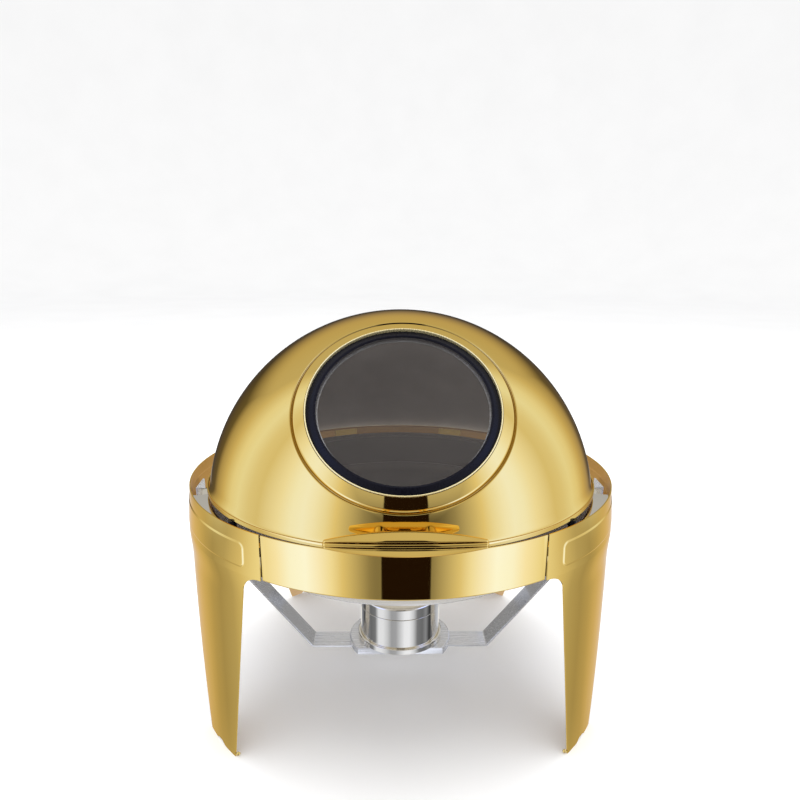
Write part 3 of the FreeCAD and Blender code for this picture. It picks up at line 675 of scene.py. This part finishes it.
def make_dome():
    """The dome: a ball cap with a fine groove round the window's border, cut off level at its foot."""
    wall = TRIM_RADIUS + 0.0002
    outside = GROOVE_RADIUS + 2 * GROOVE_HALF_WIDTH
    border_start = wall + 0.0003
    pressed = [
        Vector((HOLE_RADIUS, SEAT)),
        Vector((wall, SEAT)),
        Vector((wall, dome_surface(wall) - 0.0003)),
    ]
    pressed += [Vector((across, dome_surface(across))) for across in spread(border_start, outside, 36)[:-1]]
    rest = [Vector((math.sin(angle), math.cos(angle))) * DOME_RADIUS
            for angle in spread(math.asin(outside / DOME_RADIUS), math.radians(150), 120)]
    work = bmesh.new()
    rows = turned(work, pressed + rest, WINDOW, spread(0, TAU, 288)[:-1])
    skin(work, rows, closed_rows=True)
    everything = work.verts[:] + work.edges[:] + work.faces[:]
    bmesh.ops.bisect_plane(work, geom=everything, plane_co=(0, 0, RIM_TOP - SHEET / 2), plane_no=(0, 0, 1),
                           clear_inner=True)
    made = make_object("lid_dome", work, sharp_angle=50)
    thicken(made, DOME_SHEET, inside_material=1)
    soften_edges(made, 0.0002)
    # The dome's gold carries painted shade in its groove and next to the trim, rim and handle posts.
    dress(made, "lid", "gold_plate", "lid_shell", materials=[DOME_GOLD_PAINTED_SHADE, DOME_LINING])


def make_lid_rim():
    """The rim: the dome's foot sweeps out into a narrow flange with a turned-down lip."""
    foot = dome_radius_at(RIM_TOP)
    outside = foot + RIM_WIDTH
    sweep_start = Vector((dome_radius_at(RIM_TOP + FILLET_HEIGHT), RIM_TOP + FILLET_HEIGHT))
    sweep_corner = Vector((foot + 0.0002, RIM_TOP))
    sweep_end = Vector((outside - 0.0009, RIM_TOP))
    sweep = [sweep_start * (1 - share) ** 2 + sweep_corner * 2 * share * (1 - share) + sweep_end * share ** 2
             for share in spread(0, 1, 14)]
    outline = sweep + rounded([
        (outside, RIM_TOP, 0.0008),
        (outside, RIM_BOTTOM, 0.0005),
        (outside - SHEET, RIM_BOTTOM, 0.0005),
        (outside - SHEET, RIM_TOP - SHEET, 0.0006),
        (foot - 0.0006, RIM_TOP - SHEET, 0),
        (sweep_start.x - 0.0004, sweep_start.y, 0),
    ])
    made = lathe("rim_of_lid", outline, steps=288)
    # The faces under the flange, inside the turned-down lip, take the painted shade.
    for face in made.data.polygons:
        if from_axis(face.center) < outside - 0.9 * SHEET and face.center.z < RIM_TOP - SHEET / 2:
            face.material_index = 1
    dress(made, "lid", "gold_plate", "lid_rim", materials=[MATERIALS["gold_plate"], LIP_PAINTED_SHADE])


def make_window():
    """The glass with a ground edge, its gasket sloping away outwards and the thin trim ring, whose pale gold is a
    painted highlight that keeps it a bright line.
    """
    glass_top = SEAT + GLASS_STAND
    glass = rounded([
        (0, SEAT - GLASS_DEPTH, 0),
        (GLASS_RADIUS, SEAT - GLASS_DEPTH, 0.0008),
        (GLASS_RADIUS, glass_top, 0.0006),
        (0, glass_top, 0),
    ])
    dress(lathe("smoked_pane", glass, WINDOW, steps=160), "lid", "smoked_glass", "window_glass")
    inside = GLASS_RADIUS - 0.0001
    bottom = SEAT + 0.0001
    gasket = rounded([
        (inside, bottom, 0),
        (GASKET_RADIUS, bottom, 0),
        (GASKET_RADIUS, SEAT + 0.0010, 0.0004),
        (GLASS_RADIUS + 0.0016, SEAT + GASKET_LIP, 0.0014),
        (inside, glass_top + 0.0002, 0.0003),
    ])
    dress(lathe("gasket_ring", gasket, WINDOW, steps=200), "lid", "black_gasket", "window_gasket")
    trim = rounded([
        (GASKET_RADIUS, bottom, 0),
        (TRIM_RADIUS, bottom, 0),
        (TRIM_RADIUS, SEAT + TRIM_RISE, 0.0005),
        (GASKET_RADIUS, SEAT + TRIM_RISE, 0.0005),
    ])
    dress(lathe("trim_ring", trim, WINDOW, steps=240), "lid", "gold_plate", "window_trim",
          materials=[TRIM_PAINTED_HIGHLIGHT])


def make_handle():
    """The handle: a spindle with a narrow crowned strip along its front, between two deep grooves."""
    work = bmesh.new()
    end_radius = 0.0034
    middle_radius = BAR_RADIUS - 0.0003
    half_length = BAR_HALF_LENGTH + 0.0008
    end_start = 0.97
    blunt_share = 0.08
    facing = math.radians(14)
    strip_half_width = 0.0021
    groove_half_width = 0.0007
    groove_depth = 0.0016
    centre = BAR_MIDDLE + Vector((0, 0, HANDLE_RISE))
    rows = []
    for share in [math.sin(angle) for angle in spread(-math.pi / 2, math.pi / 2, 120)]:
        radius = end_radius + (middle_radius - end_radius) * (1 - share ** 2)
        into_end = max(0.0, (abs(share) - end_start) / (1 - end_start))
        radius *= math.sqrt(max(0.0, 1 - into_end ** 2)) * (1 - blunt_share) + blunt_share
        groove = math.asin(min(0.8, strip_half_width / radius))
        row = []
        for turn in spread(-math.pi, math.pi, 160)[:-1]:
            from_groove = (abs(turn) - groove) * radius / groove_half_width
            reach = radius - min(groove_depth, radius / 4) * math.exp(-from_groove ** 2)
            direction = facing + turn
            row.append(work.verts.new(centre + Vector((
                share * half_length, -reach * math.cos(direction), reach * math.sin(direction)))))
        rows.append(row)
    skin(work, rows, closed_columns=True)
    work.faces.new(rows[0])
    work.faces.new(rows[-1])
    # The handle's gold has painted shade in its two grooves.
    dress(make_object("spindle_handle", work, sharp_angle=65), "lid", "gold_plate", "handle_bar",
          materials=[CAST_GOLD_PAINTED_SHADE])


# --------------------------------------------------------------------------------------------- burner


def make_strap():
    """The flat bar bent into a shallow U, with rounded bends and rounded tab ends."""
    top = STRAP_LOW + STRAP_SHEET
    tab_inside = STRAP_OUTSIDE - STRAP_SHEET
    slope = math.atan2(STRAP_KNEE - top, tab_inside - STRAP_CORNER)
    outer_corner = STRAP_CORNER + STRAP_SHEET * math.tan(slope / 2)
    outer_knee = STRAP_KNEE - STRAP_SHEET * math.tan((math.pi / 2 - slope) / 2)
    tab_top = high("burner_strap").z
    bend = 0.003
    right = [
        (STRAP_CORNER, top, bend),
        (tab_inside, STRAP_KNEE, bend),
        (tab_inside, tab_top, 0),
        (STRAP_OUTSIDE, tab_top, 0),
        (STRAP_OUTSIDE, outer_knee, bend + STRAP_SHEET),
        (outer_corner, STRAP_LOW, bend + STRAP_SHEET),
    ]
    left = [(-across, up, radius) for across, up, radius in reversed(right)]
    upright = RING @ Matrix.Rotation(math.pi / 2, 4, "X")
    made = extruded("strap", rounded(right + left, steps=8), upright, 2 * STRAP_HALF_WIDTH)
    soften_edges(made, 0.0004)
    dress(made, "frame", "stainless", "burner_strap")


def make_platform():
    """The pressed plate: a round top cut off straight at front and rear, with a turned-down edge."""
    half = math.asin(PLATFORM_HALF_DEPTH / PLATFORM_RADIUS)
    outline = []
    for middle in (0, math.pi):
        for angle in spread(middle - half, middle + half, 40):
            outline.append(Vector((math.cos(angle), math.sin(angle))) * PLATFORM_RADIUS)
    work = bmesh.new()
    bottom = STRAP_LOW + STRAP_SHEET
    profile = ((bottom, 0), (PLATFORM_TOP - 0.0018, 0), (PLATFORM_TOP - 0.0012, 0.0002),
               (PLATFORM_TOP - 0.0005, 0.0007), (PLATFORM_TOP - 0.0001, 0.0013), (PLATFORM_TOP, 0.0019))
    rows = []
    for height, inset in profile:
        scale = 1 - inset / PLATFORM_RADIUS
        rows.append([
            work.verts.new(RING @ Vector((point.x * scale, point.y * scale, height))) for point in outline])
    skin(work, rows, closed_columns=True)
    work.faces.new(rows[-1])
    made = make_object("platform", work)
    thicken(made, SHEET)
    weigh_normals(made)
    dress(made, "frame", "stainless", "burner_platform")


def make_fuel_holder():
    """The holder's cup, its stepped base ring and the cover with the flame opening."""
    thick = HOLDER_SHEET
    bottom, seam = low("fuel_holder_body").z, high("fuel_holder_body").z
    body = rounded([
        (0, bottom, 0),
        (HOLDER_RADIUS, bottom, 0.0008),
        (HOLDER_RADIUS, seam, 0.0005),
        (HOLDER_RADIUS - thick, seam, 0.0002),
        (HOLDER_RADIUS - thick, bottom + thick, 0.0004),
        (0, bottom + thick, 0),
    ])
    dress(lathe("holder_cup", body, steps=160), "fuel_holder", "polished_steel", "fuel_holder_body")
    ring_radius, ring_top = high("fuel_holder_base_ring").x, high("fuel_holder_base_ring").z
    ring = rounded([
        (HOLDER_RADIUS, bottom, 0),
        (ring_radius, bottom, 0.0008),
        (ring_radius, ring_top, 0.0015),
        (HOLDER_RADIUS, ring_top, 0.0008),
    ])
    dress(lathe("holder_base_ring", ring, steps=160), "fuel_holder", "polished_steel",
          "fuel_holder_base_ring")
    cover_top = high("fuel_holder_cover").z
    cover_bottom = low("fuel_holder_cover").z
    cover_seam = seam + 0.0003
    spigot = HOLDER_RADIUS - thick - 0.0003
    cover = rounded([
        (FLAME_OPENING, cover_top - 0.0016, 0.0005),
        (FLAME_OPENING, cover_top - 0.0002, 0.0006),
        (HOLDER_RADIUS, cover_top, 0.0030),
        (HOLDER_RADIUS, cover_seam, 0.0006),
        (spigot, cover_seam, 0.0002),
        (spigot, cover_bottom, 0.0003),
        (spigot - thick, cover_bottom, 0.0003),
        (spigot - thick, cover_top - 0.0016, 0.0020),
    ], steps=6)
    dress(lathe("holder_cover", cover, steps=160), "holder_cover", "polished_steel", "fuel_holder_cover")


# ---------------------------------------------------------------------------------------------- stage


def make_floor():
    """A plain pale floor that curves up into a wall all round, far away."""
    flat, bend, wall_top = 6.0, 2.0, 9.0
    outline = [Vector((radius, 0)) for radius in (0.0, 0.6, 1.4, 2.4, 4.0, flat)]
    outline += [Vector((flat + bend * math.sin(angle), bend * (1 - math.cos(angle))))
                for angle in spread(0, math.pi / 2, 12)[1:]]
    outline.append(Vector((flat + bend, wall_top)))
    work = bmesh.new()
    rows = turned(work, outline, Matrix.Identity(4), spread(0, TAU, 96)[:-1])
    skin(work, rows, closed_rows=True)
    floor = make_object("floor", work)
    if any(face.normal.z < -0.5 for face in floor.data.polygons):
        floor.data.flip_normals()
    floor.data.materials.append(coated(
        "floor_paint", ((0.93, 0.93, 0.93), (0.95, 0.95, 0.95)), (0.7, 0.8), 3.0, 0.02, specular=0.1))
    floor.visible_glossy = False
    floor.visible_diffuse = False
    floor.visible_shadow = False


def calculated(tree, operation, first, second):
    """One step of arithmetic between sockets or plain numbers."""
    node = add(tree, "ShaderNodeMath", operation=operation)
    for index, value in enumerate((first, second)):
        if isinstance(value, (int, float)):
            node.inputs[index].default_value = value
        else:
            tree.links.new(value, node.inputs[index])
    return node.outputs[0]


def from_bearing(tree, azimuth, centre, stops):
    """A colour that depends on how far a direction lies from a bearing, from (degrees, colour) stops."""
    aside = calculated(tree, "ABSOLUTE", calculated(tree, "SUBTRACT", azimuth, math.radians(centre)), 0)
    ramp = add(tree, "ShaderNodeValToRGB")
    tree.links.new(calculated(tree, "DIVIDE", aside, math.pi), ramp.inputs["Fac"])
    elements = ramp.color_ramp.elements
    for index, (degrees, colour) in enumerate(stops):
        element = elements[index] if index < 2 else elements.new(degrees / 180)
        element.position = degrees / 180
        element.color = colour_at(colour)
    return ramp.outputs["Color"]


def stepped(tree, value, first, last):
    """0 below first and 1 above last, with a smooth step between."""
    node = add(tree, "ShaderNodeMapRange", {"From Min": first, "From Max": last},
               interpolation_type="SMOOTHSTEP")
    tree.links.new(value, node.inputs["Value"])
    return node.outputs["Result"]


def make_world():
    """The studio that shiny surfaces see, and plain white light for everything else.

    The studio has two broad bright fields at the front, a dark gap between them and dimmer sides.
    """
    world = bpy.data.worlds.new("studio")
    world.use_nodes = True
    tree = world.node_tree
    tree.nodes.clear()
    direction = add(tree, "ShaderNodeTexCoord")
    parts = add(tree, "ShaderNodeSeparateXYZ")
    tree.links.new(direction.outputs["Generated"], parts.inputs["Vector"])
    height = parts.outputs["Z"]
    forward = calculated(tree, "MULTIPLY", parts.outputs["Y"], -1)
    azimuth = calculated(tree, "ARCTAN2", parts.outputs["X"], forward)
    low_walls = from_bearing(tree, azimuth, -0.5, [
        (13, 0.24), (16, 0.29), (22, 0.50), (30, 0.77), (36, (0.93, 1.04, 1.5)), (43, (1.01, 1.22, 2.4)),
        (50, (1.05, 1.38, 3.2)), (59, (1.03, 1.33, 2.9)), (67, (1.0, 1.15, 1.9)), (78, (0.89, 0.96, 1.15)),
        (88, 0.70), (99, 0.49), (111, 0.42), (120, 0.52), (129, 0.68), (139, 0.81), (150, 0.86)])
    walls = from_bearing(tree, azimuth, 4.0, [
        (10, 0.07), (19, 0.19), (25, 0.31), (30, 0.46), (36, 0.63), (41, 0.79), (47, (0.87, 0.98, 1.4)),
        (54, (0.94, 1.13, 2.0)), (60, (0.96, 1.2, 2.35)), (67, (0.95, 1.17, 2.15)), (76, (0.90, 1.02, 1.5)),
        (91, (0.72, 0.74, 0.78)), (99, (0.76, 0.81, 0.95)), (109, (0.85, 0.99, 1.42)),
        (117, (0.83, 0.93, 1.22)), (127, 0.66), (137, 0.44), (144, 0.14), (160, 0.08)])
    least_light = blended(tree, stepped(tree, height, -0.02, 0.47), 0, 0.57)
    walls = blended(tree, 1, walls, least_light, "LIGHTEN")
    room = blended(tree, stepped(tree, height, -0.34, -0.25), low_walls, walls)
    gap_middle, gap_start, gap_end = (math.radians(degrees) for degrees in (2.0, 12.2, 12.9))
    gap_colour = (0.014, 0.007, 0.004)
    aside = calculated(tree, "ABSOLUTE", calculated(tree, "SUBTRACT", azimuth, gap_middle), 0)
    room = blended(tree, stepped(tree, aside, gap_start, gap_end), gap_colour, room)
    above_and_below = calculated(
        tree, "MAXIMUM", stepped(tree, height, 0.72, 0.86), stepped(tree, height, -0.56, -0.68))
    room = blended(tree, above_and_below, room, 0.58)
    light = add(tree, "ShaderNodeBackground")
    tree.links.new(room, light.inputs["Color"])
    plain = add(tree, "ShaderNodeBackground", {"Color": (1, 1, 1, 1)})
    path = add(tree, "ShaderNodeLightPath")
    shown = add(tree, "ShaderNodeMixShader")
    output = add(tree, "ShaderNodeOutputWorld")
    tree.links.new(path.outputs["Is Glossy Ray"], shown.inputs[0])
    tree.links.new(plain.outputs[0], shown.inputs[1])
    tree.links.new(light.outputs[0], shown.inputs[2])
    tree.links.new(shown.outputs[0], output.inputs["Surface"])
    bpy.context.scene.world = world


def make_burner_card():
    """Grey and white cards standing close round the burner, which only its shiny steel sees."""
    work = bmesh.new()
    half_turn = math.radians(130)
    outline = [Vector(place) for place in ((0.055, 0.0004), (0.130, 0.0004), (0.140, 0.100))]
    skin(work, turned(work, outline, RING, spread(-half_turn, half_turn, 104)))
    card = make_object("burner_card", work)
    material, output = new_tree("grey_and_white_card")
    tree = material.node_tree
    place = add(tree, "ShaderNodeTexCoord")
    parts = add(tree, "ShaderNodeSeparateXYZ")
    tree.links.new(place.outputs["Object"], parts.inputs["Vector"])
    forward = calculated(tree, "SUBTRACT", AXIS.y, parts.outputs["Y"])
    azimuth = calculated(tree, "ARCTAN2", parts.outputs["X"], forward)
    left = from_bearing(tree, azimuth, 0, [
        (0, 0.66), (10, 0.40), (21, 0.38), (31, 0.66), (42, 0.86), (54, 0.86), (64, 0.20), (79, 0.15),
        (92, 0.26), (106, 0.04), (130, 0.35)])
    right = from_bearing(tree, azimuth, 0, [
        (0, 0.66), (10, 0.93), (21, 0.96), (31, 0.70), (42, 0.20), (56, 0.16), (67, 0.27), (79, 0.03),
        (92, 0.20), (108, 0.45), (130, 0.60)])
    shade = blended(tree, stepped(tree, azimuth, -0.02, 0.02), left, right)
    cool = blended(tree, 1, shade, (1.0, 1.07, 1.26), "MULTIPLY")
    glow = add(tree, "ShaderNodeEmission")
    tree.links.new(cool, glow.inputs["Color"])
    tree.links.new(glow.outputs[0], output.inputs["Surface"])
    card.data.materials.append(material)
    card.visible_camera = False
    card.visible_diffuse = False
    card.visible_shadow = False
    card.visible_transmission = False


def make_lamp():
    """A wide soft lamp overhead that lifts the floor."""
    lamp = bpy.data.lights.new("overhead", "AREA")
    lamp.shape = "DISK"
    lamp.size = 3.0
    lamp.energy = 60.0
    placed = bpy.data.objects.new("overhead", lamp)
    placed.location = (0, AXIS.y, 2.6)
    placed.visible_glossy = False
    bpy.context.scene.collection.objects.link(placed)


def make_camera():
    """The camera at the photograph's viewing angle, aimed at the middle of the ring's top."""
    elevation = math.radians(17.94)
    azimuth = math.radians(-1.1)
    roll = math.radians(0.3)
    distance = 3.45 * RING_RADIUS
    camera = bpy.data.cameras.new("camera")
    camera.sensor_width = 36.0
    camera.lens = 31.54
    camera.shift_x = -0.0008
    camera.shift_y = 0.084
    camera.clip_start = 0.01
    placed = bpy.data.objects.new("camera", camera)
    back = Vector((math.sin(azimuth) * math.cos(elevation), -math.cos(azimuth) * math.cos(elevation),
                   math.sin(elevation)))
    aim = (-back).to_track_quat("-Z", "Y").to_matrix().to_4x4()
    position = Matrix.Translation(Vector((0, AXIS.y, RING_TOP)) + back * distance)
    placed.matrix_world = position @ aim @ Matrix.Rotation(roll, 4, "Z")
    bpy.context.scene.collection.objects.link(placed)
    bpy.context.scene.camera = placed


# ----------------------------------------------------------------------------------------------- dish


def dress_cad_pieces():
    """Materials for the CAD's own pieces; the seam plates get gold with painted shade, near black deep in the
    seams. Other pieces don't reflect the seam plates, as with the ring.
    """
    special = {"seam_plates": SEAM_GOLD_PAINTED_SHADE, "pan_shelf": MATERIALS["polished_steel"]}
    slot_of = {part["node"]: part["material_slot"] for part in frame["record"]["subparts"]}
    for label, carried in frame["nodes"].items():
        carried.data.materials.clear()
        carried.data.materials.append(special.get(label, MATERIALS[slot_of[label]]))
        carried.visible_glossy = label != "seam_plates"


dress_cad_pieces()
make_band("ring_front", "front_band", FRONT_SEAM, 0.0)
make_band("ring_rear", "rear_band", REAR_SEAM, math.pi)
make_leg_panel("legs_left", "leg_panel_left", -1)
make_leg_panel("legs_right", "leg_panel_right", 1)
make_foot_tips()
make_pan("pan_for_water", "frame", WATER_PAN_RADIUS, 0, "water_pan")
make_pan("pan_for_food", "food_pan", FOOD_PAN_RADIUS, FOOD_PAN_BEAD, "food_pan")
make_dome()
make_lid_rim()
make_window()
make_handle()
make_strap()
make_platform()
make_fuel_holder()
make_floor()
make_world()
make_burner_card()
make_lamp()
make_camera()
bpy.context.scene.view_settings.view_transform = "Standard"
